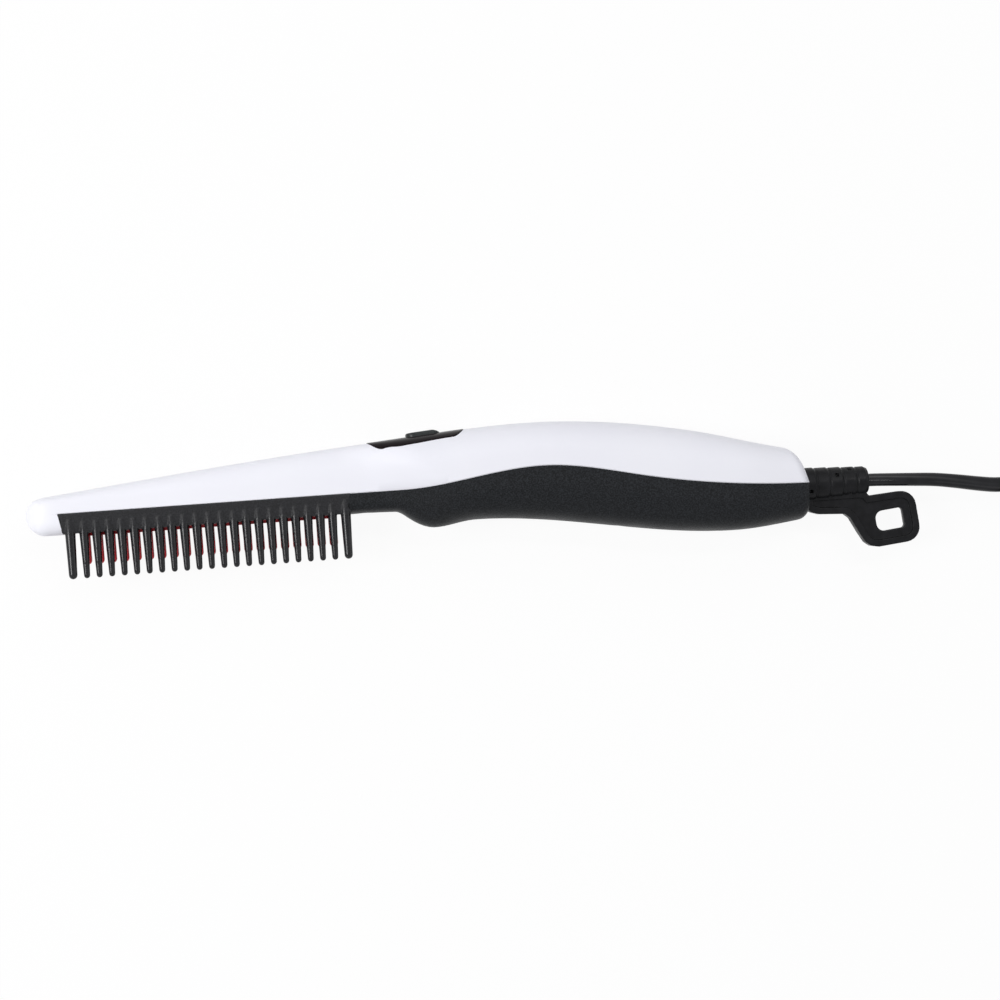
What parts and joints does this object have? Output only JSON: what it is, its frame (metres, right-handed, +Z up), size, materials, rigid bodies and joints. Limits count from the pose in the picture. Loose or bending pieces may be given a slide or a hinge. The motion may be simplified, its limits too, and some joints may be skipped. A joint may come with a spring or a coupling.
{
  "type": "electric hot comb",
  "caption": "Electric hot comb: white and black handle with push button, black guard teeth over a red heating comb, ribbed swivel cord exit with hanging loop, and a mains cord.",
  "frame": {"origin": "centre of the comb's footprint, without the cord, on the surface that it lies on", "axes": "+X along the body from the nose towards the cord, +Y from the teeth side towards the button side, +Z up from the side it lies on"},
  "size_m": [0.4825, 0.0703, 0.027],
  "materials": {
    "white_gloss": "glossy white ABS",
    "black_moulded": "fine-textured charcoal black",
    "guard_black": "heat-resistant nylon, satin teeth",
    "piano_black": "high-gloss black",
    "button_grey": "satin dark grey",
    "red_anodised": "deep red anodised",
    "ceramic": "fired, unglazed",
    "mica": "layered mineral sheet",
    "spring_steel": "rolled strip",
    "zinc_screw": "zinc plated",
    "circuit_green": "solder mask",
    "component_black": "moulded epoxy",
    "capacitor_yellow": "moulded box",
    "capacitor_blue": "printed-free sleeve",
    "sensor_bead": "glass bead",
    "fuse_case": "tinned case",
    "lead_red": "silicone insulation",
    "lead_white": "silicone insulation",
    "lead_blue": "silicone insulation",
    "carrier_cream": "glass-filled nylon",
    "brass": "turned",
    "black_rubber": "satin moulded",
    "cord_black": "smooth PVC jacket",
    "tie_black": "woven hook-and-loop strap",
    "plug_black": "moulded PVC",
    "nickel_pin": "nickel plated"
  },
  "bodies": {
    "housing": {"upper_shell": "white_gloss", "lower_shell": "black_moulded", "comb_guard": "guard_black", "switch_panel": "piano_black", "tact_switch": "component_black", "circuit_board": "circuit_green", "film_capacitor": "capacitor_yellow", "smoothing_capacitor": "capacitor_blue", "triac": "component_black", "control_chip": "component_black", "heating_comb": "red_anodised", "ceramic_heater": "ceramic", "mica_sheet": "mica", "heater_clamp": "spring_steel", "clamp_screws": "zinc_screw", "temperature_sensor": "sensor_bead", "thermal_fuse": "fuse_case", "heater_leads": "lead_red", "sensor_leads": "lead_white", "supply_leads": "lead_blue", "brush_carrier": "carrier_cream", "brush_springs": "brass", "shell_screws": "zinc_screw", "board_screws": "zinc_screw", "power_cord": "cord_black", "cord_hank": "cord_black", "cord_tail": "cord_black", "cord_tie": "tie_black", "plug_body": "plug_black", "plug_pins": "nickel_pin"},
    "button": {"power_button": "button_grey"},
    "plunger": {"switch_plunger": "component_black"},
    "swivel": {"swivel_barrel": "component_black", "slip_rings": "brass", "strain_relief": "black_rubber"}
  },
  "joints": [
    {"name": "button_press", "type": "slide", "parent": "housing", "child": "button", "axis": [0.0778, -0.997, 0], "range_m": [0, 0.0005], "stiffness_N_per_m": 2500},
    {"name": "plunger_press", "type": "slide", "parent": "housing", "child": "plunger", "axis": [0.0778, -0.997, 0], "range_m": [0, 0.0005]},
    {"name": "cord_swivel", "type": "hinge", "parent": "housing", "child": "swivel", "pos_m": [0.1066, -0.0024, 0.0135], "axis": [1, 0, 0], "continuous": true}
  ],
  "couplings": [
    {"joint": "plunger_press", "follows": "button_press", "ratio": 1}
  ]
}
